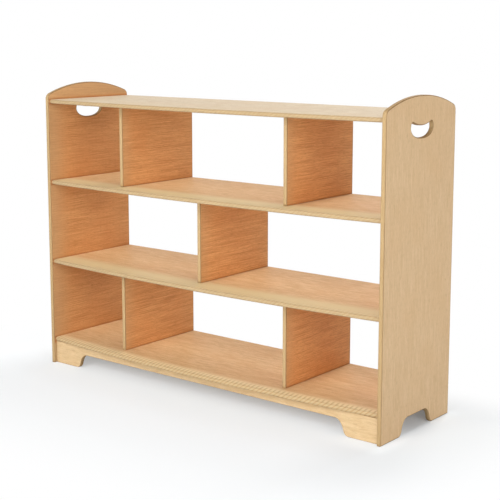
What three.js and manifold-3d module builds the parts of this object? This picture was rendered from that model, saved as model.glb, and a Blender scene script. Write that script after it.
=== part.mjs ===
// A low open-backed compartment shelf of clear-finished plywood, for a classroom or a library.
// Two end panels with crowned tops carry four bow-fronted boards. Upright dividers split the three
// tiers between them into compartments, and a footed rail closes the base at the front and the rear.
// All joints are blind and glued: wooden dowels in bores, with nothing showing outside.
// Millimetres. X runs along the width, -Y is the front, +Z is up, and the origin is on the floor
// under the middle of the whole shelf.

import * as THREE from "three";
import { mergeVertices } from "three/addons/utils/BufferGeometryUtils.js";
import Module from "manifold-3d";

const wasm = await Module();
wasm.setup();

// End panels
const OVERALL_WIDTH = 1200;
const PANEL_DEPTH = 336;
const PANEL_THICKNESS = 12;
const PANEL_EDGE_ROUND = 2.5;
const CROWN_ABOVE_TOP = 48;
const CROWN_RADIUS = 437;
const SHOULDER_RADIUS = 18;

// Handle cut-out in each end panel: a smile under the top board, whose upper edge dips in the middle
const HANDLE_LENGTH = 105;
const HANDLE_BELOW_TOP = 6.5;
const HANDLE_HEIGHT = 39;
const HANDLE_DIP = 9;
const HANDLE_CORNER = 8;
const HANDLE_END_DROP = 16;

// Boards: the top, two shelves and the base, all alike
const BOARD_THICKNESS = 12;
const BASE_TOP = 80;
const TIER_PITCH = 244;
const TIER_COUNT = 3;
const BOARD_BOW = 28;
const BOARD_END_SETBACK = 8;
const NOSE_RADIUS = 5;
const BOARD_BACK_EASE = 1.5;

// Dividers: places are middle lines, measured from the middle of the width
const DIVIDER_THICKNESS = 12;
const DIVIDER_SETBACK = 30;
const DIVIDER_EDGE_RADIUS = 3;
const LEFT_DIVIDER_X = -315;
const MIDDLE_DIVIDER_X = -18.5;
const RIGHT_DIVIDER_X = 278;

// Base rails
const RAIL_THICKNESS = 12;
const FRONT_RAIL_SETBACK = 10;
const REAR_RAIL_SETBACK = 10;
const RAIL_EDGE_EASE = 1.2;

// Foot arches, cut in the end panels and the rails alike
const ARCH_RISE = 43;
const PANEL_FOOT = 92;
const RAIL_FOOT = 98;
const TOE_EASE = 8;
const TOE_LEAN = 4;
const TOE_RISE = 14;
const ARCH_FILLET = 36;

// Dowel joints
const DOWEL_DIAMETER = 6;
const DOWEL_LENGTH = 28;
const DOWEL_CHAMFER = 1;
const BORE_CLEARANCE = 0.3;
const BORE_END_CLEARANCE = 0.5;
const FACE_BORE_DEPTH = 8.5;
const GLUE_LINE = 0.2;
const BOARD_DOWEL_INSET = 62;
const DIVIDER_DOWEL_INSET = 55;
const RAIL_DOWEL_HEIGHTS = { lower: 18, upper: 50 };

// How finely curves are cut into facets
const CURVE_SEGMENTS = 8;
const NOSE_SEGMENTS = 4;
const BOW_STATIONS = 20;
const EDGE_SEGMENTS = 2;
const ROUND_SIDES = 10;
const MERGE_TOLERANCE = 1e-4;

// Places that follow from the sizes above
const OVERALL_DEPTH = PANEL_DEPTH + BOARD_BOW - BOARD_END_SETBACK;
const BACK_Y = OVERALL_DEPTH / 2;
const PANEL_FRONT_Y = BACK_Y - PANEL_DEPTH;
const INSIDE_X = OVERALL_WIDTH / 2 - PANEL_THICKNESS;
const BOARD_LENGTH = 2 * (INSIDE_X - GLUE_LINE);
const RAIL_HEIGHT = BASE_TOP - BOARD_THICKNESS - GLUE_LINE;
const TOP_BOARD_TOP = BASE_TOP + TIER_COUNT * TIER_PITCH;
const PANEL_HEIGHT = TOP_BOARD_TOP + CROWN_ABOVE_TOP;
const HANDLE_TOP = TOP_BOARD_TOP - BOARD_THICKNESS - HANDLE_BELOW_TOP;
const HANDLE_BOTTOM = HANDLE_TOP - HANDLE_HEIGHT;

const FACE_WOOD = 0xd2b48c;
const INNER_WOOD = 0xc9935f;
const BOARD_WOOD = 0xd9ab7c;
const RAIL_WOOD = 0xdcb77f;
const DOWEL_WOOD = 0xe0cda6;
const WOOD_ROUGHNESS = 0.5;

// Solids and cuts

function toSolid(geometry) {
  const bare = geometry.clone();
  bare.deleteAttribute("normal");
  bare.deleteAttribute("uv");
  const merged = mergeVertices(bare, MERGE_TOLERANCE);
  return new wasm.Manifold(
    new wasm.Mesh({
      numProp: 3,
      vertProperties: new Float32Array(merged.attributes.position.array),
      triVerts: new Uint32Array(merged.index.array),
    }),
  );
}

function toGeometry(solid) {
  const { vertProperties, triVerts } = solid.getMesh();
  const geometry = new THREE.BufferGeometry();
  geometry.setAttribute("position", new THREE.BufferAttribute(vertProperties, 3));
  geometry.setIndex(new THREE.BufferAttribute(triVerts, 1));
  geometry.computeVertexNormals();
  return geometry;
}

// A closed solid through a row of rings, each ring the same convex section further along.
function loft(rings) {
  const size = rings[0].length;
  const positions = rings.flat().flatMap((point) => point.toArray());
  const faces = [];
  for (let ring = 0; ring + 1 < rings.length; ring++) {
    for (let i = 0; i < size; i++) {
      const a = ring * size + i;
      const b = ring * size + ((i + 1) % size);
      faces.push(a, b, b + size, a, b + size, a + size);
    }
  }
  const last = (rings.length - 1) * size;
  for (let i = 1; i + 1 < size; i++) {
    faces.push(0, i + 1, i, last, last + i, last + i + 1);
  }
  const geometry = new THREE.BufferGeometry();
  geometry.setAttribute("position", new THREE.Float32BufferAttribute(positions, 3));
  geometry.setIndex(faces);
  return geometry;
}

// A flat board cut to an outline, lying across an axis, with its edges rounded or eased.
function cutBoard(outline, thickness, edge, edgeSegments) {
  return new THREE.ExtrudeGeometry(outline, {
    depth: thickness - 2 * edge,
    curveSegments: CURVE_SEGMENTS,
    bevelEnabled: edge > 0,
    bevelThickness: edge,
    bevelSize: edge,
    bevelOffset: -edge,
    bevelSegments: edgeSegments,
  }).translate(0, 0, edge);
}

// Outlines

// The lower edge of a footed board, from its near end to its far one: a foot, an ogee up to the
// arch, the arch, and the same again the other way round.
function footedEdge(shape, length, foot) {
  const shin = foot + TOE_EASE;
  const lean = TOE_LEAN * ((ARCH_RISE - TOE_RISE) / TOE_RISE);
  shape.moveTo(0, 0);
  shape.lineTo(foot - TOE_EASE, 0);
  shape.quadraticCurveTo(shin - TOE_LEAN, 0, shin, TOE_RISE);
  shape.quadraticCurveTo(shin + lean, ARCH_RISE, foot + ARCH_FILLET, ARCH_RISE);
  shape.lineTo(length - foot - ARCH_FILLET, ARCH_RISE);
  shape.quadraticCurveTo(length - shin - lean, ARCH_RISE, length - shin, TOE_RISE);
  shape.quadraticCurveTo(length - shin + TOE_LEAN, 0, length - foot + TOE_EASE, 0);
  shape.lineTo(length, 0);
}

// Depth runs along the outline's x, from the panel's front, and height along its y.
function endPanelOutline() {
  const shape = new THREE.Shape();
  const middle = PANEL_DEPTH / 2;
  const crownZ = PANEL_HEIGHT - CROWN_RADIUS;
  const reach = middle - SHOULDER_RADIUS;
  const shoulderZ = crownZ + Math.sqrt((CROWN_RADIUS - SHOULDER_RADIUS) ** 2 - reach ** 2);
  const turn = Math.atan2(shoulderZ - crownZ, reach);
  footedEdge(shape, PANEL_DEPTH, PANEL_FOOT);
  shape.lineTo(PANEL_DEPTH, shoulderZ);
  shape.absarc(middle + reach, shoulderZ, SHOULDER_RADIUS, 0, turn, false);
  shape.absarc(middle, crownZ, CROWN_RADIUS, turn, Math.PI - turn, false);
  shape.absarc(middle - reach, shoulderZ, SHOULDER_RADIUS, Math.PI - turn, Math.PI, false);
  shape.lineTo(0, 0);
  shape.holes.push(handleOutline(middle));
  return shape;
}

function handleOutline(middle) {
  const hole = new THREE.Path();
  const end = HANDLE_LENGTH / 2;
  const corner = end - HANDLE_CORNER;
  const waist = HANDLE_TOP - HANDLE_END_DROP;
  hole.moveTo(middle - end, waist);
  hole.quadraticCurveTo(middle - end, HANDLE_TOP, middle - corner, HANDLE_TOP);
  hole.quadraticCurveTo(middle, HANDLE_TOP - 2 * HANDLE_DIP, middle + corner, HANDLE_TOP);
  hole.quadraticCurveTo(middle + end, HANDLE_TOP, middle + end, waist);
  hole.quadraticCurveTo(middle + corner, HANDLE_BOTTOM, middle, HANDLE_BOTTOM);
  hole.quadraticCurveTo(middle - corner, HANDLE_BOTTOM, middle - end, waist);
  return hole;
}

function railOutline() {
  const shape = new THREE.Shape();
  footedEdge(shape, BOARD_LENGTH, RAIL_FOOT);
  shape.lineTo(BOARD_LENGTH, RAIL_HEIGHT);
  shape.lineTo(0, RAIL_HEIGHT);
  shape.lineTo(0, 0);
  return shape;
}

// The plan of a divider, with its upright edges rounded.
function dividerOutline() {
  const shape = new THREE.Shape();
  const side = DIVIDER_THICKNESS / 2;
  const front = PANEL_FRONT_Y + DIVIDER_SETBACK;
  const round = DIVIDER_EDGE_RADIUS;
  const quarter = Math.PI / 2;
  shape.absarc(side - round, front + round, round, -quarter, 0, false);
  shape.absarc(side - round, BACK_Y - round, round, 0, quarter, false);
  shape.absarc(round - side, BACK_Y - round, round, quarter, 2 * quarter, false);
  shape.absarc(round - side, front + round, round, 2 * quarter, 3 * quarter, false);
  return shape;
}

// Piece shapes

// Depth and height of the outline become Y and Z, and the thickness runs along X.
function endPanel() {
  const upright = new THREE.Matrix4().makeBasis(
    new THREE.Vector3(0, 1, 0),
    new THREE.Vector3(0, 0, 1),
    new THREE.Vector3(1, 0, 0),
  );
  return cutBoard(endPanelOutline(), PANEL_THICKNESS, PANEL_EDGE_ROUND, EDGE_SEGMENTS)
    .applyMatrix4(upright)
    .translate(-PANEL_THICKNESS / 2, PANEL_FRONT_Y, 0);
}

// A board's front follows a shallow bow, furthest out in the middle, and its nose is rounded.
function bowedBoard() {
  const rings = [];
  for (let station = 0; station <= BOW_STATIONS; station++) {
    const along = (2 * station) / BOW_STATIONS - 1;
    const x = (along * BOARD_LENGTH) / 2;
    const noseY = PANEL_FRONT_Y + BOARD_END_SETBACK - BOARD_BOW * (1 - along ** 2);
    const section = [
      [BACK_Y, BOARD_BACK_EASE],
      [BACK_Y, BOARD_THICKNESS - BOARD_BACK_EASE],
      [BACK_Y - BOARD_BACK_EASE, BOARD_THICKNESS],
    ];
    for (const [centre, start] of [
      [BOARD_THICKNESS - NOSE_RADIUS, Math.PI / 2],
      [NOSE_RADIUS, Math.PI],
    ]) {
      for (let step = 0; step <= NOSE_SEGMENTS; step++) {
        const angle = start + (Math.PI / 2) * (step / NOSE_SEGMENTS);
        section.push([
          noseY + NOSE_RADIUS * (1 + Math.cos(angle)),
          centre + NOSE_RADIUS * Math.sin(angle),
        ]);
      }
    }
    section.push([BACK_Y - BOARD_BACK_EASE, 0]);
    rings.push(section.map(([y, z]) => new THREE.Vector3(x, y, z)));
  }
  return loft(rings);
}

function divider() {
  const height = TIER_PITCH - BOARD_THICKNESS - 2 * GLUE_LINE;
  return cutBoard(dividerOutline(), height, 0, 0);
}

// The rail's outline stands up along Z, with its front face at the given depth.
function rail(frontY) {
  return cutBoard(railOutline(), RAIL_THICKNESS, RAIL_EDGE_EASE, 1)
    .rotateX(Math.PI / 2)
    .translate(-BOARD_LENGTH / 2, frontY + RAIL_THICKNESS, 0);
}

// A straight dowel with chamfered ends, standing along Y about its own middle.
function dowel() {
  const radius = DOWEL_DIAMETER / 2;
  const half = DOWEL_LENGTH / 2;
  const profile = [
    [0, -half],
    [radius - DOWEL_CHAMFER, -half],
    [radius, DOWEL_CHAMFER - half],
    [radius, half - DOWEL_CHAMFER],
    [radius - DOWEL_CHAMFER, half],
    [0, half],
  ].map(([x, y]) => new THREE.Vector2(x, y));
  return new THREE.LatheGeometry(profile, ROUND_SIDES);
}

// Pieces: each has its own shape, its place and its colour, and collects the bores cut in it

const pieces = new Map();

function addPiece(name, geometry, place, color) {
  pieces.set(name, { geometry, place, color, bores: [] });
}

const boardTops = {
  base_board: BASE_TOP,
  lower_shelf: BASE_TOP + TIER_PITCH,
  upper_shelf: BASE_TOP + 2 * TIER_PITCH,
  top_board: TOP_BOARD_TOP,
};
const dividers = [
  ["bottom_divider_left", LEFT_DIVIDER_X, "base_board", "lower_shelf"],
  ["bottom_divider_right", RIGHT_DIVIDER_X, "base_board", "lower_shelf"],
  ["middle_divider", MIDDLE_DIVIDER_X, "lower_shelf", "upper_shelf"],
  ["top_divider_left", LEFT_DIVIDER_X, "upper_shelf", "top_board"],
  ["top_divider_right", RIGHT_DIVIDER_X, "upper_shelf", "top_board"],
];
const sides = { left: -1, right: 1 };
const railFronts = {
  front_rail: PANEL_FRONT_Y + FRONT_RAIL_SETBACK,
  rear_rail: BACK_Y - REAR_RAIL_SETBACK - RAIL_THICKNESS,
};

for (const [side, sign] of Object.entries(sides)) {
  const x = (sign * (OVERALL_WIDTH - PANEL_THICKNESS)) / 2;
  addPiece(`${side}_end_panel`, endPanel(), new THREE.Vector3(x, 0, 0), FACE_WOOD);
}
for (const [name, top] of Object.entries(boardTops)) {
  addPiece(name, bowedBoard(), new THREE.Vector3(0, 0, top - BOARD_THICKNESS), BOARD_WOOD);
}
for (const [name, x, under] of dividers) {
  addPiece(name, divider(), new THREE.Vector3(x, 0, boardTops[under] + GLUE_LINE), INNER_WOOD);
}
for (const [name, frontY] of Object.entries(railFronts)) {
  addPiece(name, rail(frontY), new THREE.Vector3(0, 0, 0), RAIL_WOOD);
}

// Dowel joints: each sits square across a joint, a little way into one board's face and the rest
// into the other board's edge

const dowels = new Map();

function joinWithDowel(name, facePiece, edgePiece, seat, intoEdge) {
  const edgeBoreDepth = DOWEL_LENGTH - FACE_BORE_DEPTH - GLUE_LINE + 2 * BORE_END_CLEARANCE;
  const boreLength = FACE_BORE_DEPTH + GLUE_LINE + edgeBoreDepth;
  const boreRadius = (DOWEL_DIAMETER + BORE_CLEARANCE) / 2 / Math.cos(Math.PI / ROUND_SIDES);
  const middle = seat.clone().addScaledVector(intoEdge, boreLength / 2 - FACE_BORE_DEPTH);
  const turn = new THREE.Quaternion().setFromUnitVectors(new THREE.Vector3(0, 1, 0), intoEdge);
  const bore = new THREE.CylinderGeometry(boreRadius, boreRadius, boreLength, ROUND_SIDES)
    .applyQuaternion(turn)
    .translate(...middle);
  pieces.get(facePiece).bores.push(bore);
  pieces.get(edgePiece).bores.push(bore);
  dowels.set(name, { middle, turn });
}

for (const [side, sign] of Object.entries(sides)) {
  const panel = `${side}_end_panel`;
  const inward = new THREE.Vector3(-sign, 0, 0);
  for (const [board, top] of Object.entries(boardTops)) {
    const z = top - BOARD_THICKNESS / 2;
    const rows = { front: PANEL_FRONT_Y + BOARD_DOWEL_INSET, rear: BACK_Y - BOARD_DOWEL_INSET };
    for (const [row, y] of Object.entries(rows)) {
      const seat = new THREE.Vector3(sign * INSIDE_X, y, z);
      joinWithDowel(`dowel_${board}_${side}_${row}`, panel, board, seat, inward);
    }
  }
  for (const [name, frontY] of Object.entries(railFronts)) {
    for (const [row, z] of Object.entries(RAIL_DOWEL_HEIGHTS)) {
      const seat = new THREE.Vector3(sign * INSIDE_X, frontY + RAIL_THICKNESS / 2, z);
      joinWithDowel(`dowel_${name}_${side}_${row}`, panel, name, seat, inward);
    }
  }
}
for (const [name, x, under, over] of dividers) {
  const rows = {
    front: PANEL_FRONT_Y + DIVIDER_SETBACK + DIVIDER_DOWEL_INSET,
    rear: BACK_Y - DIVIDER_DOWEL_INSET,
  };
  for (const [row, y] of Object.entries(rows)) {
    const foot = new THREE.Vector3(x, y, boardTops[under]);
    const head = new THREE.Vector3(x, y, boardTops[over] - BOARD_THICKNESS);
    const up = new THREE.Vector3(0, 0, 1);
    joinWithDowel(`dowel_${name}_foot_${row}`, under, name, foot, up);
    joinWithDowel(`dowel_${name}_head_${row}`, over, name, head, up.clone().negate());
  }
}

// The shelf

const shelf = new THREE.Group();

function addMesh(name, geometry, color) {
  const material = new THREE.MeshStandardMaterial({
    color,
    roughness: WOOD_ROUGHNESS,
    metalness: 0,
  });
  const mesh = new THREE.Mesh(geometry, material);
  mesh.name = name;
  shelf.add(mesh);
  return mesh;
}

for (const [name, { geometry, place, color, bores }] of pieces) {
  let solid = toSolid(geometry);
  for (const bore of bores) {
    solid = solid.subtract(toSolid(bore.clone().translate(-place.x, -place.y, -place.z)));
  }
  addMesh(name, toGeometry(solid), color).position.copy(place);
}
for (const [name, { middle, turn }] of dowels) {
  const mesh = addMesh(name, dowel(), DOWEL_WOOD);
  mesh.position.copy(middle);
  mesh.quaternion.copy(turn);
}

export default shelf;
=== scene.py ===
"""The looks of a low open-backed compartment shelf of clear-finished plywood.

Metres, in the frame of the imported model: X along the width, -Y the front, +Z up, floor at zero.
"""
import math

import bmesh
import bpy
from mathutils import Color, Matrix, Vector
from mathutils.geometry import delaunay_2d_cdt


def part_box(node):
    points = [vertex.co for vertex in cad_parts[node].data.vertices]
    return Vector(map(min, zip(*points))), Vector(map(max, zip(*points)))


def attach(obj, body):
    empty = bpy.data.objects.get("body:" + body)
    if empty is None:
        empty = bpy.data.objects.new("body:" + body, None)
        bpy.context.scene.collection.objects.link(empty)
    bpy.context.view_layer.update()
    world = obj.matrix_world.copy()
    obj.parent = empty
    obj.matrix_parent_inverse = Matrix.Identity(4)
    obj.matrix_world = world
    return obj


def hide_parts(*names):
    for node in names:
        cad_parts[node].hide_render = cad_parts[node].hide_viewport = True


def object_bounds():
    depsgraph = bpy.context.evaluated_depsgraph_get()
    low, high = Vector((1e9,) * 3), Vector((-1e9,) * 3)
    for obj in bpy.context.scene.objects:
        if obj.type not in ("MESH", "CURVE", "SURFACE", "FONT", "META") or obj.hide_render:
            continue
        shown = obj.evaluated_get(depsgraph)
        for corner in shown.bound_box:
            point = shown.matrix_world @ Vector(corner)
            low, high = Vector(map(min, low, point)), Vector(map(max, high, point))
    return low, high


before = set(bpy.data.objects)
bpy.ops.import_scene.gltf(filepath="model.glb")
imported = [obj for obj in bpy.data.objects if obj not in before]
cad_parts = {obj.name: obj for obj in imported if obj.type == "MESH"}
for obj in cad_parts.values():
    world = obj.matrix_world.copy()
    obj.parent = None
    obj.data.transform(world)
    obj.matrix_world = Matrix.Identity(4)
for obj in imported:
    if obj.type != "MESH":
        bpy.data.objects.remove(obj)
cad_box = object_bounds()

MM = 0.001
QUARTER_TURN = math.pi / 2
FULL_TURN = math.tau
BRIGHTEST = 255
WHITE = (1, 1, 1, 1)

# End panels: a crowned board with rounded shoulders
CROWN_RADIUS = 437 * MM
SHOULDER_RADIUS = 18 * MM
PANEL_EDGE_ROUND = 2.5 * MM

# Handle cut-out: a smile whose upper edge dips in the middle, measured from the top board down
HANDLE_LENGTH = 105 * MM
HANDLE_BELOW_TOP = 6.5 * MM
HANDLE_HEIGHT = 39 * MM
HANDLE_DIP = 9 * MM
HANDLE_CORNER = 8 * MM
HANDLE_END_DROP = 16 * MM

# Boards: the front is bowed, and its nose is rounded
BOARD_BOW = 28 * MM
NOSE_RADIUS = 5 * MM
BOARD_BACK_EASE = 1.5 * MM

# Upright part of a face's normal on a board: over the first the face is shaded flat, and under the second
# it has the nosing's wood
FLAT_TILT = 0.999
NOSING_TILT = 0.94

DIVIDER_EDGE_ROUND = 3 * MM
DIVIDER_END_EASE = 0.6 * MM
RAIL_EDGE_EASE = 1.2 * MM

# Foot arches, in the end panels and the rails alike
ARCH_RISE = 43 * MM
PANEL_FOOT = 92 * MM
RAIL_FOOT = 98 * MM
TOE_EASE = 8 * MM
TOE_LEAN = 4 * MM
TOE_RISE = 14 * MM
ARCH_FILLET = 36 * MM

# How finely curves are drawn
CURVE_STEPS = 16
CROWN_STEPS = 48
EDGE_STEPS = 4
NOSE_STEPS = 6
BOW_STATIONS = 97

# Points nearer than the first are one; a long side gets a point near each end, so its shading stays even
SAME_POINT = 0.01 * MM
LONG_SIDE = 20 * MM
CORNER_REACH = 8 * MM

# Flat fills: the kind that keeps only what the loops enclose, and the distance that counts as none
FILL_INSIDE = 1
FILL_NEARNESS = 0.0001 * MM

# Material slots of a board that is cut to an outline
NEAR_FACE = 0
FAR_FACE = 1
CUT_EDGE = 2

# Plywood: layers in a board, and the mesh attributes for how deep in them a point lies, from 0 to 1,
# and how squarely its edge cuts the face grain
PLY_COUNT = 7
PLY_DEPTH = "ply_depth"
CROSS_CUT = "cross_cut"

# Painted light: each inner board's faces a little lighter or darker, for how much light reaches them
PANEL_PAINTED_LIGHT = {"left": 0.93, "right": 1.0}
DIVIDER_PAINTED_LIGHT = {
    "bottom_divider_left": 1.0,
    "bottom_divider_right": 1.14,
    "middle_divider": 1.06,
    "top_divider_left": 0.97,
    "top_divider_right": 1.1,
}


# Node trees


class Field:
    """A node's output in arithmetic: each operator adds one Math node."""

    def __init__(self, bench, socket):
        self.bench = bench
        self.socket = socket

    def __add__(self, other):
        return self.bench.math("ADD", self, other)

    def __sub__(self, other):
        return self.bench.math("SUBTRACT", self, other)

    def __rsub__(self, other):
        return self.bench.math("SUBTRACT", other, self)

    def __mul__(self, other):
        return self.bench.math("MULTIPLY", self, other)

    def __truediv__(self, other):
        return self.bench.math("DIVIDE", self, other)

    def __rtruediv__(self, other):
        return self.bench.math("DIVIDE", other, self)

    def __pow__(self, other):
        return self.bench.math("POWER", self, other)

    def __rpow__(self, other):
        return self.bench.math("POWER", other, self)

    def __abs__(self):
        return self.bench.math("ABSOLUTE", self)

    __radd__ = __add__
    __rmul__ = __mul__


class Bench:
    """Makes and links the nodes of one tree."""

    def __init__(self, tree):
        self.tree = tree

    def node(self, kind, settings=None, values=None):
        """A new node with its settings, then its socket values or links; returns its outputs by name."""
        node = self.tree.nodes.new(kind)
        for name, value in (settings or {}).items():
            setattr(node, name, value)
        for key, value in (values or {}).items():
            self.put(self.find(node.inputs, key), value)
        return {socket.name: Field(self, socket) for socket in node.outputs if socket.enabled}

    def find(self, sockets, key):
        """A socket by its number, or the one in use that has the name."""
        if isinstance(key, int):
            return sockets[key]
        return next(socket for socket in sockets if socket.name == key and socket.enabled)

    def put(self, socket, value):
        """Links a field to a socket, or sets the socket to a plain value."""
        if isinstance(value, Field):
            self.tree.links.new(value.socket, socket)
        else:
            socket.default_value = value

    def math(self, operation, *operands):
        values = dict(enumerate(operands))
        return self.node("ShaderNodeMath", {"operation": operation}, values)["Value"]

    def ripple(self, angle):
        """A sine wave between 0 and 1."""
        return self.math("SINE", angle) * 0.5 + 0.5

    def split(self, vector):
        parts = self.node("ShaderNodeSeparateXYZ", None, {"Vector": vector})
        return parts["X"], parts["Y"], parts["Z"]

    def join(self, x, y, z):
        return self.node("ShaderNodeCombineXYZ", None, {"X": x, "Y": y, "Z": z})["Vector"]

    def stretch(self, vector, scale):
        settings = {"operation": "MULTIPLY"}
        return self.node("ShaderNodeVectorMath", settings, {0: vector, 1: scale})["Vector"]

    def noise(self, vector, scale, detail=2.0, roughness=0.5, distortion=0.0):
        values = {
            "Vector": vector,
            "Scale": scale,
            "Detail": detail,
            "Roughness": roughness,
            "Distortion": distortion,
        }
        return self.node("ShaderNodeTexNoise", None, values)["Fac"]

    def attribute(self, name):
        settings = {"attribute_type": "GEOMETRY", "attribute_name": name}
        return self.node("ShaderNodeAttribute", settings)["Fac"]

    def blend(self, first, second, factor):
        values = {"Factor": factor, "A": first, "B": second}
        return self.node("ShaderNodeMix", {"data_type": "RGBA"}, values)["Result"]

    def ease(self, value, low, high):
        """0 below low, 1 above high, and a smooth rise between them; low may be the larger one."""
        values = {"Value": value, "From Min": low, "From Max": high}
        settings = {"interpolation_type": "SMOOTHSTEP", "clamp": True}
        return self.node("ShaderNodeMapRange", settings, values)["Result"]


def emptied(owner):
    """A bench at the node tree of a material or a world, with its first nodes cleared away."""
    owner.use_nodes = True
    owner.node_tree.nodes.clear()
    return Bench(owner.node_tree)


def paint(red, green, blue):
    """A colour written as 0 to 255 on screen, as the linear colour that nodes take."""
    shown = Color((red / BRIGHTEST, green / BRIGHTEST, blue / BRIGHTEST))
    return (*shown.from_srgb_to_scene_linear(), 1)


def lightened(colour, lightness):
    red, green, blue, _ = colour
    return (red * lightness, green * lightness, blue * lightness, 1)


# Wood finishes

# Pale and deep grain and a blush on faces
OUTER_TONES = (paint(224, 193, 153), paint(197, 162, 120), paint(211, 174, 130))
# Inner faces: deeper and more orange than the outer ones, painted shade for the warm bounced light inside
# the compartments
INNER_TONES = (paint(228, 169, 111), paint(189, 127, 75), paint(207, 138, 82))
BOARD_TONES = (paint(211, 176, 133), paint(193, 154, 109), paint(203, 158, 112))
# Top board: paler and greyer than the shelves, a painted sheen of the white surroundings seen at a grazing
# angle
TOP_TONES = (paint(210, 194, 169), paint(192, 170, 140), paint(201, 174, 142))
RAIL_TONES = (paint(207, 181, 142), paint(184, 154, 113), paint(196, 162, 120))
DOWEL_TONES = (paint(232, 214, 178), paint(214, 190, 148), paint(220, 196, 156))

# Pale and deep layers and the glue between them on cut edges
EDGE_TONES = (paint(181, 155, 114), paint(146, 115, 75), paint(130, 95, 57))
DIVIDER_TONES = (paint(190, 165, 126), paint(168, 140, 100), paint(130, 96, 58))
NOSE_TONES = (paint(170, 149, 116), paint(147, 123, 88), paint(130, 95, 56))

# A thin lacquer, nearly matt
LACQUER_ROUGHNESS = 0.55
LACQUER_COAT = 0.02
LACQUER_SPECULAR = 0.12
LACQUER_COAT_ROUGHNESS = 0.3

# The axis that the face grain runs along
ALONG_WIDTH = 0
ALONG_DEPTH = 1
ALONG_HEIGHT = 2

# Parts of the face grain: length along it and width across it
FIGURE = (600 * MM, 70 * MM)
LONG_STREAK = (70 * MM, 2.5 * MM)
FINE_STREAK = (110 * MM, 1.7 * MM)
BROAD_STREAK = (50 * MM, 7 * MM)
FIBRE = (22 * MM, 0.7 * MM)
FLECK = (14 * MM, 0.7 * MM)

# Kinds of noise
FIGURE_NOISE = {"detail": 1.0, "roughness": 0.4, "distortion": 0.3}
STREAK_NOISE = {"detail": 4.0, "roughness": 0.7}
FIBRE_NOISE = {"detail": 2.0, "roughness": 0.6}
LAYER_NOISE = {"detail": 3.0, "roughness": 0.6}
SMOOTH_NOISE = {"detail": 1.0}

# Radians of rings that the figure's noise is folded into
FIGURE_RINGS = 40.0

# How much each part adds to the shade of a face
STREAK_SHARE = 0.73
RING_SHARE = 0.03
FIBRE_SHARE = 0.24

# A face turns from pale to deep this far to either side of the middle shade, or less with more contrast
SHADE_MIDDLE = 0.5
SHADE_SPREAD = 0.25
PLAIN_CONTRAST = 1.0
INNER_CONTRAST = 1.6
BOARD_CONTRAST = 2.2

# Patches of blush, so many per metre
BLUSH_SCALE = 7.0
BLUSH_CUT = (0.42, 0.75)
BLUSH_STRENGTH = 0.4

# Short dark flecks along the grain
FLECK_CUT = (0.58, 0.68)
FLECK_SHADE = 0.7
FLECK_STRENGTH = 0.5

# Relief of a face, and how far its streaks vary the roughness
FIBRE_RELIEF = 0.7
STREAK_RELIEF = 0.3
FACE_RELIEF = 0.12 * MM
FACE_ROUGHNESS_RANGE = 0.16

# Layers of a cut edge: they waver, and each takes its tone from its own slice of one noise
WAVER_SCALE = 60.0
WAVER = 0.02
LAYER_STEP = 3.7
LAYER_SCALE = 55.0
PORE_SCALE = 900.0

# How much each part adds to the shade of a cut edge, and where that turns from pale to deep
END_GRAIN_SHARE = 0.4
CROSS_CUT_SHARE = 0.25
LAYER_SHARE = 0.35
PORE_SHARE = 0.2
EDGE_SHADE = (0.2, 0.95)

# Glue seams between the layers, by the distance from the middle of a layer
SEAM_REACH = (0.4, 0.5)
SEAM_STRENGTH = 0.5

# Relief of a cut edge, and how far its pores vary the roughness
SEAM_RELIEF = 0.6
EDGE_RELIEF = 0.15 * MM
EDGE_ROUGHNESS_RANGE = 0.2

# Darker lines along the rims of a cut edge, and how strongly the lower and the upper one show: partly the
# outer layers' end grain, partly painted shade where the rounding turns from the light, as under the nosing
RIM_REACH = (0.36, 0.48)
CUT_RIMS = (0.6, 0.6)
DIVIDER_RIMS = (0.1, 0.5)
NOSE_RIMS = (0.7, 0.0)

# Fine slanted lines across the nosing, strongest on the base board
HATCH_PERIOD = 13.7 * MM
HATCH_LEAN = 1.25
HATCH_FALL = -0.145
HATCH_REACH = (34 * MM, 8 * MM)
HATCH_LINE = (0.35, 1.0)
HATCH_WANDER_SCALE = 12.0
HATCH_WANDER = 0.5
HATCH_DEEP = paint(158, 122, 76)

# Painted light along the front of a board, where it is most lit: a paler strip, none at the first distance
# behind the nose, full at the second
BASE_REACH = (44 * MM, 16 * MM)
SHELF_REACH = (100 * MM, 45 * MM)
BASE_PAINTED_LIGHT = paint(230, 210, 166)
SHELF_PAINTED_LIGHT = paint(214, 194, 150)
NOSE_PAINTED_LIGHT = paint(190, 165, 126)

# How strongly the painted-light strip and the lines show, on the face and on the nosing
BASE_STRIP = (0.8, 0.7)
SHELF_STRIP = (0.9, 0.4)
TOP_STRIP = (0.1, 0.3)
BASE_HATCH = (0.5, 0.62)
SHELF_HATCH = (0.12, 0.3)

BOARD_LOOKS = {
    "base_board": (BOARD_TONES, BASE_PAINTED_LIGHT, BASE_REACH, BASE_STRIP, BASE_HATCH),
    "lower_shelf": (BOARD_TONES, SHELF_PAINTED_LIGHT, SHELF_REACH, SHELF_STRIP, SHELF_HATCH),
    "upper_shelf": (BOARD_TONES, SHELF_PAINTED_LIGHT, SHELF_REACH, SHELF_STRIP, SHELF_HATCH),
    "top_board": (TOP_TONES, SHELF_PAINTED_LIGHT, SHELF_REACH, TOP_STRIP, SHELF_HATCH),
}

# A thin darker line where an upright board meets a shelf: partly glue and stain,
# partly painted shade in the corner
JOINT_STAIN_AND_SHADE = paint(140, 70, 26)
JOINT_REACH = (7 * MM, 1 * MM)
JOINT_STRENGTH = 0.45

# Painted light on inner faces: a paler tone where they lie open to the lamps, outside the shade of the
# compartments
PAINTED_OPEN_LIGHT = paint(182, 152, 112)
OPEN_LIGHT_STRENGTH = 0.5
OPEN_LIGHT_REACH = 90 * MM
OPEN_LIGHT_RISE = 12 * MM


def new_wood(name):
    material = bpy.data.materials.new(name)
    return material, emptied(material)


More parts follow.
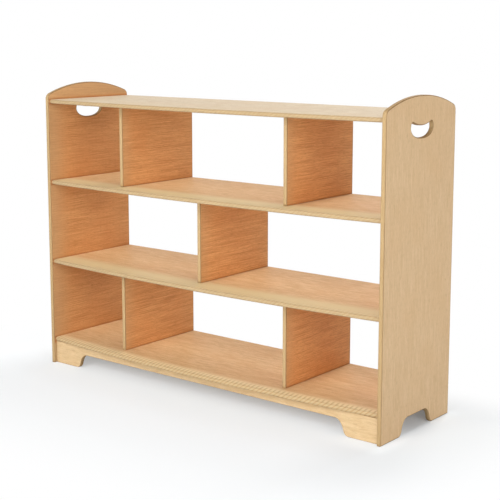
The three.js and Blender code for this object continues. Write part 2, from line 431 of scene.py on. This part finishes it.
def finish_wood(bench, colour, roughness, height, depth):
    """A clear-lacquered wood surface from its colour, roughness and relief."""
    normal = bench.node("ShaderNodeBump", None, {"Height": height, "Distance": depth})["Normal"]
    values = {
        "Base Color": colour,
        "Roughness": roughness,
        "Specular IOR Level": LACQUER_SPECULAR,
        "Coat Weight": LACQUER_COAT,
        "Coat Roughness": LACQUER_COAT_ROUGHNESS,
        "Normal": normal,
    }
    shader = bench.node("ShaderNodeBsdfPrincipled", None, values)["BSDF"]
    bench.node("ShaderNodeOutputMaterial", None, {"Surface": shader})


def grained(bench, place, grain, size, noise):
    """Noise drawn out along the grain axis, to a length along it and a width across it."""
    length, width = size
    scales = tuple(1 / (length if axis == grain else width) for axis in range(3))
    return bench.noise(bench.stretch(place, scales), 1.0, **noise)


def board_height(bench, z):
    """Height above or below the nearest board's top."""
    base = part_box("base_board")[1].z
    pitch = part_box("lower_shelf")[1].z - base
    return bench.math("FLOORED_MODULO", z - (base - pitch / 2), pitch) - pitch / 2


def from_boards(bench, place):
    """Distance in height from the nearest top or underside of a board."""
    low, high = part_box("base_board")
    height = board_height(bench, bench.split(place)[2])
    return bench.math("MINIMUM", abs(height), abs(height + (high.z - low.z)))


def hatched(bench, place, colour, pale, reach, strip, lined):
    """The colour with a paler strip of painted light along the board's front, and slanted lines that climb
    the nosing.

    The strip fades out over its reach behind the nose; strip and lined say how strongly each one shows.
    """
    low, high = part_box("base_board")
    x, y, z = bench.split(place)
    nose = (x / high.x) ** 2.0 * BOARD_BOW + low.y
    inward = bench.math("MAXIMUM", y - nose, 0.0)
    rise = board_height(bench, z) + inward * HATCH_FALL
    wander = bench.noise(place, HATCH_WANDER_SCALE, **SMOOTH_NOISE) * HATCH_WANDER
    phase = (x - rise * HATCH_LEAN) / HATCH_PERIOD + wander
    wave = bench.ripple(phase * FULL_TURN)
    lines = bench.ease(wave, *HATCH_LINE) * bench.ease(inward, *HATCH_REACH)
    # painted light: a paler strip along the front, where the board is most lit
    colour = bench.blend(colour, pale, bench.ease(inward, *reach) * strip)
    return bench.blend(colour, HATCH_DEEP, lines * lined)


def open_light_share(bench, place):
    """How much painted light an inner face takes: along its front edge, above the top board, by the rails.
    """
    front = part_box("left_end_panel")[0].y
    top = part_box("top_board")[1].z
    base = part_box("base_board")[0].z
    _, y, z = bench.split(place)
    by_front = bench.ease(y, front + OPEN_LIGHT_REACH, front)
    above = bench.ease(z, top, top + OPEN_LIGHT_RISE)
    below = bench.ease(z, base, base - OPEN_LIGHT_RISE)
    return bench.math("MAXIMUM", bench.math("MAXIMUM", by_front, above) * OPEN_LIGHT_STRENGTH, below)


def veneer(name, tones, grain, streak, contrast, front=None, joint=None):
    """A board's face: streaks, fibres, flecks and a faint figure that run along the grain axis.

    A board with a front gets the strip of painted light and the lines of hatched, and one with a joint
    colour
    the marks of an inner face: painted light where it lies open, and a darker line, partly painted shade.
    """
    pale, deep, blush = tones
    material, bench = new_wood(name)
    place = bench.node("ShaderNodeTexCoord")["Object"]
    figure = grained(bench, place, grain, FIGURE, FIGURE_NOISE)
    rings = bench.ripple(figure * FIGURE_RINGS)
    streaks = grained(bench, place, grain, streak, STREAK_NOISE)
    fibres = grained(bench, place, grain, FIBRE, FIBRE_NOISE)
    shade = streaks * STREAK_SHARE + rings * RING_SHARE + fibres * FIBRE_SHARE
    spread = SHADE_SPREAD / contrast
    colour = bench.blend(pale, deep, bench.ease(shade, SHADE_MIDDLE - spread, SHADE_MIDDLE + spread))
    patches = bench.ease(bench.noise(place, BLUSH_SCALE), *BLUSH_CUT)
    colour = bench.blend(colour, blush, patches * BLUSH_STRENGTH)
    flecks = bench.ease(grained(bench, place, grain, FLECK, SMOOTH_NOISE), *FLECK_CUT)
    colour = bench.blend(colour, lightened(deep, FLECK_SHADE), flecks * FLECK_STRENGTH)
    if front:
        colour = hatched(bench, place, colour, *front)
    if joint:
        # painted light: a paler tone where the inner face lies open to the lamps
        colour = bench.blend(colour, PAINTED_OPEN_LIGHT, open_light_share(bench, place))
        # a darker line where the face meets a board: partly glue and stain, partly painted shade in the
        # corner
        contact = bench.ease(from_boards(bench, place), *JOINT_REACH)
        colour = bench.blend(colour, joint, contact * JOINT_STRENGTH)
    roughness = streaks * FACE_ROUGHNESS_RANGE + (LACQUER_ROUGHNESS - FACE_ROUGHNESS_RANGE / 2)
    relief = fibres * FIBRE_RELIEF + streaks * STREAK_RELIEF
    finish_wood(bench, colour, roughness, relief, FACE_RELIEF)
    return material


def ply_edge(name, tones, rims, front=None):
    """A cut edge of plywood: long-grain and end-grain layers in turn, with thin glue seams."""
    pale, deep, glue = tones
    lower_rim, upper_rim = rims
    material, bench = new_wood(name)
    place = bench.node("ShaderNodeTexCoord")["Object"]
    depth = bench.attribute(PLY_DEPTH)
    across = bench.attribute(CROSS_CUT)
    waver = bench.noise(place, WAVER_SCALE) * WAVER
    level = (depth + waver) * PLY_COUNT
    layer = bench.math("FLOOR", level)
    within = level - layer
    end_grain = abs(bench.math("MODULO", layer, 2.0) - across)
    seam = bench.ease(abs(within - 0.5), *SEAM_REACH)
    off_middle = depth - 0.5
    # darker rims: partly end grain, partly painted shade where the rounding turns from the light
    rim = bench.ease(off_middle, *RIM_REACH) * upper_rim
    rim = rim + bench.ease(off_middle * -1.0, *RIM_REACH) * lower_rim
    x, y, z = bench.split(place)
    slice_place = bench.join(layer * LAYER_STEP, (y + x) * LAYER_SCALE, (z + x) * LAYER_SCALE)
    tone = bench.noise(slice_place, 1.0, **LAYER_NOISE)
    pores = bench.noise(place, PORE_SCALE, **FIBRE_NOISE)
    shade = end_grain * END_GRAIN_SHARE + across * CROSS_CUT_SHARE
    shade = shade + tone * LAYER_SHARE + pores * PORE_SHARE
    colour = bench.blend(pale, deep, bench.ease(shade, *EDGE_SHADE))
    colour = bench.blend(colour, glue, seam * SEAM_STRENGTH)
    if front:
        colour = hatched(bench, place, colour, *front)
    colour = bench.blend(colour, glue, rim)
    roughness = pores * EDGE_ROUGHNESS_RANGE + LACQUER_ROUGHNESS
    finish_wood(bench, colour, roughness, pores - seam * SEAM_RELIEF, EDGE_RELIEF)
    return material


def inner_veneer(name, lightness):
    """An inner face, painted a little lighter or darker for how much light reaches it."""
    tones = [lightened(tone, lightness) for tone in INNER_TONES]
    return veneer(f"{name}_veneer", tones, ALONG_DEPTH, FINE_STREAK, INNER_CONTRAST, joint=JOINT_STAIN_AND_SHADE)


def board_woods(name):
    """A board's faces and its nosing, both with the strip and the lines along the front."""
    tones, pale, reach, (face_strip, nose_strip), (face_lines, nose_lines) = BOARD_LOOKS[name]
    face_front = (pale, reach, face_strip, face_lines)
    nose_front = (NOSE_PAINTED_LIGHT, reach, nose_strip, nose_lines)
    face = veneer(f"{name}_veneer", tones, ALONG_WIDTH, BROAD_STREAK, BOARD_CONTRAST, front=face_front)
    nose = ply_edge(f"{name}_nosing", NOSE_TONES, NOSE_RIMS, front=nose_front)
    return face, nose


# Mesh making


class Outline:
    """Points along a flat outline; the wood lies to the left of the way it runs."""

    def __init__(self, across, up):
        self.points = [Vector((across, up))]

    def line(self, across, up):
        self.points.append(Vector((across, up)))
        return self

    def curve(self, control, end, steps=CURVE_STEPS):
        """A curve that leaves towards its control point and comes in from it."""
        start = self.points[-1]
        control = Vector(control)
        end = Vector(end)
        for step in range(1, steps + 1):
            t = step / steps
            self.points.append(start * (1 - t) ** 2 + control * (2 * t * (1 - t)) + end * t**2)
        return self

    def arc(self, centre, radius, first, last, steps=CURVE_STEPS):
        for step in range(steps + 1):
            angle = first + (last - first) * step / steps
            self.points.append(Vector((math.cos(angle), math.sin(angle))) * radius + Vector(centre))
        return self

    def closed(self):
        """The points without any that lie on the one before, with two more near the ends of a long side."""
        kept = []
        for index, point in enumerate(self.points):
            before = self.points[index - 1]
            side = point - before
            if side.length > LONG_SIDE:
                step = side.normalized() * CORNER_REACH
                kept.extend((before + step, point - step))
            if side.length > SAME_POINT:
                kept.append(point)
        return kept


def inset(points, distance, end_share):
    """The outline moved into the wood by a distance, or by a share of it at its upper and lower ends."""
    moved = []
    for index, point in enumerate(points):
        before = (point - points[index - 1]).normalized()
        after = (points[(index + 1) % len(points)] - point).normalized()
        first = Vector((-before.y, before.x))
        second = Vector((-after.y, after.x))
        shift = (first + second) * (distance / (1 + first.dot(second)))
        moved.append(point + Vector((shift.x, shift.y * end_share)))
    return moved


def run_of(points, index):
    """The way that an outline runs past one of its points."""
    return (points[(index + 1) % len(points)] - points[index - 1]).normalized()


def fill(loops):
    """The corners of the triangles that fill an outer loop of flat points and leave its holes open."""
    points = [point for loop in loops for point in loop]
    areas = []
    start = 0
    for loop in loops:
        area = list(range(start, start + len(loop)))
        areas.append(area[::-1] if areas else area)
        start += len(loop)
    found = delaunay_2d_cdt(points, [], areas, FILL_INSIDE, FILL_NEARNESS)
    _, _, triangles, sources, _, owners = found
    wooden = [triangle for triangle, owner in zip(triangles, owners) if list(owner) == [0]]
    return [[sources[corner][0] for corner in triangle] for triangle in wooden]


def edge_profile(thickness, edge):
    """Steps from the near face round a rounded edge to the far face: how far inward and how far through."""
    half = thickness / 2
    turns = [QUARTER_TURN * step / EDGE_STEPS for step in range(EDGE_STEPS + 1)]
    near = [(edge * (1 - math.sin(turn)), edge * (1 - math.cos(turn)) - half) for turn in turns]
    far = [(inward, -through) for inward, through in reversed(near)]
    return near + far


def wrap(mesh, lower, upper):
    """Smooth faces of cut edge between two rings of vertices."""
    for index, vertex in enumerate(lower):
        following = (index + 1) % len(lower)
        face = mesh.faces.new((vertex, lower[following], upper[following], upper[index]))
        face.smooth = True
        face.material_index = CUT_EDGE


def cap(mesh, loops, flatten, slot):
    """Flat faces in one material slot, inside an outer ring of vertices and outside its holes."""
    vertices = [vertex for loop in loops for vertex in loop]
    shapes = [[(flatten @ vertex.co).to_2d() for vertex in loop] for loop in loops]
    for corners in fill(shapes):
        face = mesh.faces.new([vertices[corner] for corner in corners])
        face.material_index = slot


def rounded_board(name, outlines, thickness, edge, place, materials, grain, end_share=1.0):
    """A flat board cut to its outlines, an outer one and any holes, with rounded edges all round.

    The matrix takes across, up and through to the board's place, the materials are those of the near
    face, the far face and the cut edges, and the grain is the way that the face grain runs.
    """
    mesh = bmesh.new()
    depth_layer = mesh.verts.layers.float.new(PLY_DEPTH)
    cross_layer = mesh.verts.layers.float.new(CROSS_CUT)
    near_loops = []
    far_loops = []
    for outline in outlines:
        crossing = [1 - abs(run_of(outline, index).dot(grain)) for index in range(len(outline))]
        rings = []
        for inward, through in edge_profile(thickness, edge):
            ring = []
            for point, cross in zip(inset(outline, inward, end_share), crossing):
                vertex = mesh.verts.new(place @ Vector((point.x, point.y, through)))
                vertex[depth_layer] = through / thickness + 0.5
                vertex[cross_layer] = cross
                ring.append(vertex)
            rings.append(ring)
        for lower, upper in zip(rings, rings[1:]):
            wrap(mesh, lower, upper)
        near_loops.append(rings[0])
        far_loops.append(rings[-1])
    flatten = place.inverted()
    cap(mesh, near_loops, flatten, NEAR_FACE)
    cap(mesh, far_loops, flatten, FAR_FACE)
    bmesh.ops.recalc_face_normals(mesh, faces=mesh.faces)
    data = bpy.data.meshes.new(name)
    mesh.to_mesh(data)
    mesh.free()
    for material in materials:
        data.materials.append(material)
    return new_piece(name, data)


def new_piece(name, data):
    piece = bpy.data.objects.new(name, data)
    bpy.context.scene.collection.objects.link(piece)
    return piece


def stand_for(piece, node):
    """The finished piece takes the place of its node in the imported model."""
    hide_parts(node)
    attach(piece, "root")


# Outlines


def footed_edge(length, foot):
    """The lower edge of a footed board: a foot, an ogee up to the arch, and the same in reverse."""
    shin = foot + TOE_EASE
    lean = TOE_LEAN * ((ARCH_RISE - TOE_RISE) / TOE_RISE)
    outline = Outline(0, 0).line(foot - TOE_EASE, 0)
    outline.curve((shin - TOE_LEAN, 0), (shin, TOE_RISE))
    outline.curve((shin + lean, ARCH_RISE), (foot + ARCH_FILLET, ARCH_RISE))
    outline.line(length - foot - ARCH_FILLET, ARCH_RISE)
    outline.curve((length - shin - lean, ARCH_RISE), (length - shin, TOE_RISE))
    outline.curve((length - shin + TOE_LEAN, 0), (length - foot + TOE_EASE, 0))
    return outline.line(length, 0)


def panel_outline(depth, height):
    """An end panel's outline: footed below, upright sides, rounded shoulders and the crown."""
    middle = depth / 2
    crown = height - CROWN_RADIUS
    reach = middle - SHOULDER_RADIUS
    shoulder = crown + math.sqrt((CROWN_RADIUS - SHOULDER_RADIUS) ** 2 - reach**2)
    turn = math.atan2(shoulder - crown, reach)
    outline = footed_edge(depth, PANEL_FOOT)
    outline.arc((middle + reach, shoulder), SHOULDER_RADIUS, 0, turn)
    outline.arc((middle, crown), CROWN_RADIUS, turn, math.pi - turn, CROWN_STEPS)
    outline.arc((middle - reach, shoulder), SHOULDER_RADIUS, math.pi - turn, math.pi)
    return outline.closed()


def handle_outline(middle, top):
    """The handle's outline, run clockwise because it is a hole."""
    end = HANDLE_LENGTH / 2
    corner = end - HANDLE_CORNER
    waist = top - HANDLE_END_DROP
    bottom = top - HANDLE_HEIGHT
    outline = Outline(middle - end, waist)
    outline.curve((middle - end, top), (middle - corner, top))
    outline.curve((middle, top - 2 * HANDLE_DIP), (middle + corner, top))
    outline.curve((middle + end, top), (middle + end, waist))
    outline.curve((middle + corner, bottom), (middle, bottom))
    outline.curve((middle - corner, bottom), (middle - end, waist))
    return outline.closed()


# Pieces

GRAIN_ACROSS = Vector((1, 0))
GRAIN_UP = Vector((0, 1))

# An outline's across, up and through become depth, height and width on panels and dividers,
# and width, height and depth on rails
ACROSS_WIDTH = Matrix(((0, 0, 1), (1, 0, 0), (0, 1, 0))).to_4x4()
ACROSS_DEPTH = Matrix(((1, 0, 0), (0, 0, -1), (0, 1, 0))).to_4x4()


def make_end_panel(side, outer, inner, edge):
    name = f"{side}_end_panel"
    low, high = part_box(name)
    thickness, depth, height = high - low
    handle_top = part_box("top_board")[0].z - HANDLE_BELOW_TOP
    outlines = [panel_outline(depth, height), handle_outline(depth / 2, handle_top)]
    place = Matrix.Translation((low.x + thickness / 2, low.y, low.z)) @ ACROSS_WIDTH
    faces = (outer, inner) if side == "left" else (inner, outer)
    finishes = (*faces, edge)
    panel = rounded_board(
        f"{side}_panel", outlines, thickness, PANEL_EDGE_ROUND, place, finishes, GRAIN_UP
    )
    stand_for(panel, name)


def make_rail(name, face, edge):
    low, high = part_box(name)
    length, thickness, height = high - low
    outline = footed_edge(length, RAIL_FOOT).line(length, height).line(0, height)
    place = Matrix.Translation((low.x, low.y + thickness / 2, low.z)) @ ACROSS_DEPTH
    piece_name = name.replace("rail", "plinth")
    finishes = (face, face, edge)
    rail = rounded_board(
        piece_name, [outline.closed()], thickness, RAIL_EDGE_EASE, place, finishes, GRAIN_ACROSS
    )
    stand_for(rail, name)


def make_divider(name, face, edge):
    low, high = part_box(name)
    thickness, depth, height = high - low
    outline = Outline(0, 0).line(depth, 0).line(depth, height).line(0, height)
    place = Matrix.Translation((low.x + thickness / 2, low.y, low.z)) @ ACROSS_WIDTH
    share = DIVIDER_END_EASE / DIVIDER_EDGE_ROUND
    finishes = (face, face, edge)
    divider = rounded_board(
        f"{name}_board",
        [outline.closed()],
        thickness,
        DIVIDER_EDGE_ROUND,
        place,
        finishes,
        GRAIN_ACROSS,
        share,
    )
    stand_for(divider, name)


def swept_board(bench, given, half):
    """A straight board, swept along its length from a section with a rounded nose and an eased back."""
    section = bench.node(
        "GeometryNodeCurvePrimitiveQuadrilateral",
        {"mode": "RECTANGLE"},
        {"Width": given["Depth"], "Height": given["Thickness"]},
    )["Curve"]
    toward_front = bench.split(bench.node("GeometryNodeInputPosition")["Position"])[0]
    at_nose = bench.math("GREATER_THAN", toward_front, 0.0)
    radius = given["Back Ease"] + at_nose * (given["Nose Radius"] - given["Back Ease"])
    section = bench.node(
        "GeometryNodeFilletCurve",
        {"mode": "POLY"},
        {"Curve": section, "Count": given["Nose Steps"], "Radius": radius, "Limit Radius": True},
    )["Curve"]
    spine = bench.node(
        "GeometryNodeCurvePrimitiveLine",
        {"mode": "POINTS"},
        {"Start": bench.join(half * -1.0, 0.0, 0.0), "End": bench.join(half, 0.0, 0.0)},
    )["Curve"]
    spine = bench.node(
        "GeometryNodeResampleCurve",
        {"mode": "COUNT"},
        {"Curve": spine, "Count": given["Stations"]},
    )["Curve"]
    return bench.node(
        "GeometryNodeCurveToMesh",
        None,
        {"Curve": spine, "Profile Curve": section, "Fill Caps": True},
    )["Mesh"]


def bowed_board_tree():
    """The node tree of a board: swept straight, then its front bowed and its woods put on."""
    tree = bpy.data.node_groups.new("bowed_board", "GeometryNodeTree")
    sizes = ("Length", "Depth", "Thickness", "Bow", "Nose Radius", "Back Ease", "Centre Y", "Centre Z")
    for size in sizes:
        tree.interface.new_socket(size, in_out="INPUT", socket_type="NodeSocketFloat")
    for count in ("Stations", "Nose Steps"):
        tree.interface.new_socket(count, in_out="INPUT", socket_type="NodeSocketInt")
    for finish in ("Face", "Edge"):
        tree.interface.new_socket(finish, in_out="INPUT", socket_type="NodeSocketMaterial")
    tree.interface.new_socket("Geometry", in_out="OUTPUT", socket_type="NodeSocketGeometry")
    bench = Bench(tree)
    given = bench.node("NodeGroupInput")
    half = given["Length"] * 0.5
    board = swept_board(bench, given, half)
    x, y, z = bench.split(bench.node("GeometryNodeInputPosition")["Position"])
    board = bench.node(
        "GeometryNodeStoreNamedAttribute",
        {"data_type": "FLOAT", "domain": "POINT"},
        {"Geometry": board, "Name": PLY_DEPTH, "Value": z / given["Thickness"] + 0.5},
    )["Geometry"]
    in_front = bench.math("LESS_THAN", y, 0.0)
    out = (1.0 - (x / half) ** 2.0) * given["Bow"] * in_front
    shift = bench.join(0.0, given["Centre Y"] - out, given["Centre Z"])
    board = bench.node("GeometryNodeSetPosition", None, {"Geometry": board, "Offset": shift})["Geometry"]
    tilt = abs(bench.split(bench.node("GeometryNodeInputNormal")["Normal"])[2])
    flat = bench.math("GREATER_THAN", tilt, FLAT_TILT)
    board = bench.node(
        "GeometryNodeSetShadeSmooth",
        {"domain": "FACE"},
        {"Geometry": board, "Shade Smooth": 1.0 - flat},
    )["Geometry"]
    board = bench.node("GeometryNodeRealizeInstances", None, {"Geometry": board})["Geometry"]
    board = bench.node(
        "GeometryNodeSetMaterial",
        None,
        {"Geometry": board, "Material": given["Face"]},
    )["Geometry"]
    nosing = bench.math("LESS_THAN", tilt, NOSING_TILT)
    board = bench.node(
        "GeometryNodeSetMaterial",
        None,
        {"Geometry": board, "Selection": nosing, "Material": given["Edge"]},
    )["Geometry"]
    bench.node("NodeGroupOutput", None, {"Geometry": board})
    return tree


def grow(name, tree, inputs):
    """A piece with the plain mesh that a node tree makes from its named inputs."""
    holder = new_piece(name, bpy.data.meshes.new(name))
    modifier = holder.modifiers.new("shape", "NODES")
    modifier.node_group = tree
    for item in tree.interface.items_tree:
        if item.in_out == "INPUT":
            modifier[item.identifier] = inputs[item.name]
    evaluated = holder.evaluated_get(bpy.context.evaluated_depsgraph_get())
    data = bpy.data.meshes.new_from_object(evaluated)
    holder.modifiers.remove(modifier)
    holder.data = data
    return holder


def make_board(name, tree, face, edge):
    low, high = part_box(name)
    length, depth, thickness = high - low
    straight = depth - BOARD_BOW
    inputs = {
        "Length": length,
        "Depth": straight,
        "Thickness": thickness,
        "Bow": BOARD_BOW,
        "Nose Radius": NOSE_RADIUS,
        "Back Ease": BOARD_BACK_EASE,
        "Centre Y": high.y - straight / 2,
        "Centre Z": (low.z + high.z) / 2,
        "Stations": BOW_STATIONS,
        "Nose Steps": NOSE_STEPS,
        "Face": face,
        "Edge": edge,
    }
    board = grow(f"{name}_bowed", tree, inputs)
    stand_for(board, name)


# Studio

CAMERA_PLACE = (2.079, -2.517, 1.017)
CAMERA_YAW = 38.84
CAMERA_PITCH = 8.73
CAMERA_LENS = 84.2
CAMERA_SHIFT = (0.0045, -0.08)

# Lamps: place, size and power
SOFTBOXES = {
    "front_softbox": ((0.2, -3.2, 2.6), 1.8, 84),
    "low_softbox": ((0.4, -3.4, 0.6), 1.2, 54),
    "rear_softbox": ((0.2, 3.2, 2.8), 1.8, 112),
    "right_softbox": ((3.6, -1.6, 1.5), 2.0, 46),
    "left_softbox": ((-3.8, 0.3, 1.5), 2.0, 22),
}

# How strongly the white surroundings light the scene; seen straight they are plain white
DAYLIGHT = 0.44

# The floor's tone, and a darker one painted by the right end of the shelf as its shadow
FLOOR_SIZE = 40.0
FLOOR_TONE = (0.8, 0.84, 0.87, 1)
FLOOR_SHADED = (0.62, 0.65, 0.67, 1)
SHADED_RIGHT = (0.4, 0.7)
SHADED_REACH = (0.5, 0.1)

# Painted glow that lightens the shelf's shadows: how much plain white is mixed into the floor as it is
# seen, clear of the shelf or in front, and under it
GLOW = 0.44
GLOW_UNDER = 0.16
GLOW_REACH = 0.05
GLOW_FRONT = (0.05, -0.12)

# Where the floor turns plain white: by the distance from the shelf, less so along its depth, and behind it
WHITE_FROM = (0.02, 0.45)
WHITE_BEFORE = 0.3
WHITE_BEHIND = (0.15, 0.4)


def make_camera():
    data = bpy.data.cameras.new("camera")
    data.lens = CAMERA_LENS
    data.shift_x, data.shift_y = CAMERA_SHIFT
    camera = bpy.data.objects.new("camera", data)
    camera.location = CAMERA_PLACE
    camera.rotation_euler = (math.radians(90 - CAMERA_PITCH), 0, math.radians(CAMERA_YAW))
    bpy.context.scene.collection.objects.link(camera)
    bpy.context.scene.camera = camera


def seen_straight(bench):
    """1 on rays that show the surroundings as they are: from the camera, a gloss or glass."""
    path = bench.node("ShaderNodeLightPath")
    total = path["Is Camera Ray"] + path["Is Glossy Ray"] + path["Is Transmission Ray"]
    return bench.math("MINIMUM", total, 1.0)


def make_surroundings():
    world = bpy.data.worlds.new("studio")
    bpy.context.scene.world = world
    bench = emptied(world)
    strength = seen_straight(bench) * (1 - DAYLIGHT) + DAYLIGHT
    light = bench.node("ShaderNodeBackground", None, {"Color": WHITE, "Strength": strength})["Background"]
    bench.node("ShaderNodeOutputWorld", None, {"Surface": light})


def make_floor():
    """White paper that keeps the shelf's soft shadows and turns plain white away from it.

    A painted glow lightens those shadows, and a painted shadow lies by the right end of the shelf.
    """
    data = bpy.data.meshes.new("floor")
    mesh = bmesh.new()
    bmesh.ops.create_grid(mesh, x_segments=1, y_segments=1, size=FLOOR_SIZE / 2)
    mesh.to_mesh(data)
    mesh.free()
    material = bpy.data.materials.new("studio_floor")
    bench = emptied(material)
    x, y, _ = bench.split(bench.node("ShaderNodeTexCoord")["Object"])
    beside = bench.math("MAXIMUM", abs(x) - cad_box[1].x, 0.0)
    before = bench.math("MAXIMUM", abs(y) - cad_box[1].y, 0.0)
    away = bench.math("SQRT", beside * beside + before * before)
    aside = bench.math("SQRT", beside * beside + before * before * WHITE_BEFORE)
    white = bench.math("MAXIMUM", bench.ease(aside, *WHITE_FROM), bench.ease(y, *WHITE_BEHIND))
    front = bench.ease(y, *GLOW_FRONT)
    clear = bench.ease(away, 0.0, GLOW_REACH)
    lift = bench.math("MAXIMUM", clear, front) * (GLOW - GLOW_UNDER) + GLOW_UNDER
    shown = lift + white * (1.0 - lift)
    # painted shadow on the floor beside the right end panel
    right_painted_shadow = bench.ease(x, *SHADED_RIGHT) * bench.ease(away, *SHADED_REACH) * clear
    tone = bench.blend(FLOOR_TONE, FLOOR_SHADED, right_painted_shadow)
    paper = bench.node("ShaderNodeBsdfDiffuse", None, {"Color": tone})["BSDF"]
    glow = bench.node("ShaderNodeEmission", None, {"Color": WHITE})["Emission"]
    values = {"Fac": shown * seen_straight(bench), 1: paper, 2: glow}
    surface = bench.node("ShaderNodeMixShader", None, values)["Shader"]
    bench.node("ShaderNodeOutputMaterial", None, {"Surface": surface})
    data.materials.append(material)
    floor = new_piece("floor", data)


def make_softbox(name, place, size, power):
    """A square lamp that faces the middle of the shelf."""
    data = bpy.data.lights.new(name, "AREA")
    data.size = size
    data.energy = power
    lamp = bpy.data.objects.new(name, data)
    lamp.location = place
    lamp.visible_camera = False
    aim = Vector((0, 0, cad_box[1].z / 2)) - Vector(place)
    lamp.rotation_euler = aim.to_track_quat("-Z", "Y").to_euler()
    bpy.context.scene.collection.objects.link(lamp)


bpy.context.scene.view_settings.view_transform = "Standard"
make_camera()
make_surroundings()
make_floor()
for name, (place, size, power) in SOFTBOXES.items():
    make_softbox(name, place, size, power)

outer_face = veneer("outer_veneer", OUTER_TONES, ALONG_HEIGHT, LONG_STREAK, PLAIN_CONTRAST)
rail_face = veneer("rail_veneer", RAIL_TONES, ALONG_WIDTH, BROAD_STREAK, PLAIN_CONTRAST)
cut_edge = ply_edge("ply_edge", EDGE_TONES, CUT_RIMS)
divider_edge = ply_edge("divider_edge", DIVIDER_TONES, DIVIDER_RIMS)
dowel_wood = veneer("dowel_wood", DOWEL_TONES, ALONG_WIDTH, LONG_STREAK, PLAIN_CONTRAST)

# each inner face is painted lighter or darker for how much light reaches it
for side, lightness in PANEL_PAINTED_LIGHT.items():
    make_end_panel(side, outer_face, inner_veneer(f"{side}_panel", lightness), cut_edge)
tree = bowed_board_tree()
for name in BOARD_LOOKS:
    make_board(name, tree, *board_woods(name))
for name, lightness in DIVIDER_PAINTED_LIGHT.items():
    make_divider(name, inner_veneer(name, lightness), divider_edge)
for name in ("front_rail", "rear_rail"):
    make_rail(name, rail_face, cut_edge)
for name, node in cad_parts.items():
    if name.startswith("dowel"):
        node.data.materials.clear()
        node.data.materials.append(dowel_wood)
